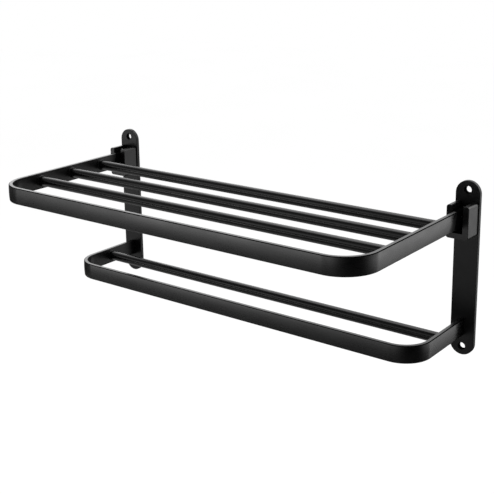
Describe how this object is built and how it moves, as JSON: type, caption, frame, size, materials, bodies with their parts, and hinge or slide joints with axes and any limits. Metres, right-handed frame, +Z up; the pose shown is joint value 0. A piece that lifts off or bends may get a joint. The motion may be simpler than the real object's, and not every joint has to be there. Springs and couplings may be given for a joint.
{
  "type": "towel rack with shelf",
  "caption": "Wall-mounted towel rack: a railed shelf that folds up against the wall, over a fixed towel frame with an inner rail.",
  "frame": {"origin": "on the wall plane, midway between the two wall plates and level with their lower ends", "axes": "+X along the rails, to the right as seen from the room; +Y into the wall; +Z up"},
  "size_m": [0.5286, 0.234, 0.2],
  "materials": {
    "plate_coat": "satin black powder coat on steel bar",
    "block_coat": "satin black powder coat on a cast block",
    "frame_coat": "satin black powder coat on bent flat band",
    "rail_coat": "satin black powder coat on round bar",
    "pin_steel": "turned steel pin, lightly oiled",
    "screw_zinc": "bright zinc plated",
    "spacer_nylon": "moulded black nylon"
  },
  "bodies": {
    "wall_side": {"wall_plate_left": "plate_coat", "hinge_block_left": "block_coat", "hinge_pin_left": "pin_steel", "pin_spacer_left_inner": "spacer_nylon", "pin_spacer_left_outer": "spacer_nylon", "block_screw_left_inner_low": "screw_zinc", "block_screw_left_inner_high": "screw_zinc", "block_screw_left_outer_low": "screw_zinc", "block_screw_left_outer_high": "screw_zinc", "arm_screw_left_low": "screw_zinc", "arm_screw_left_high": "screw_zinc", "wall_plate_right": "plate_coat", "hinge_block_right": "block_coat", "hinge_pin_right": "pin_steel", "pin_spacer_right_inner": "spacer_nylon", "pin_spacer_right_outer": "spacer_nylon", "block_screw_right_inner_low": "screw_zinc", "block_screw_right_inner_high": "screw_zinc", "block_screw_right_outer_low": "screw_zinc", "block_screw_right_outer_high": "screw_zinc", "arm_screw_right_low": "screw_zinc", "arm_screw_right_high": "screw_zinc", "towel_frame": "frame_coat", "towel_rail": "rail_coat"},
    "shelf": {"shelf_frame": "frame_coat", "shelf_rail_back": "rail_coat", "shelf_rail_middle": "rail_coat", "shelf_rail_front": "rail_coat"}
  },
  "joints": [
    {"name": "shelf_fold", "type": "hinge", "parent": "wall_side", "child": "shelf", "pos_m": [0, -0.0153, 0.162], "axis": [-1, 0, 0], "range_deg": [0, 90]}
  ]
}
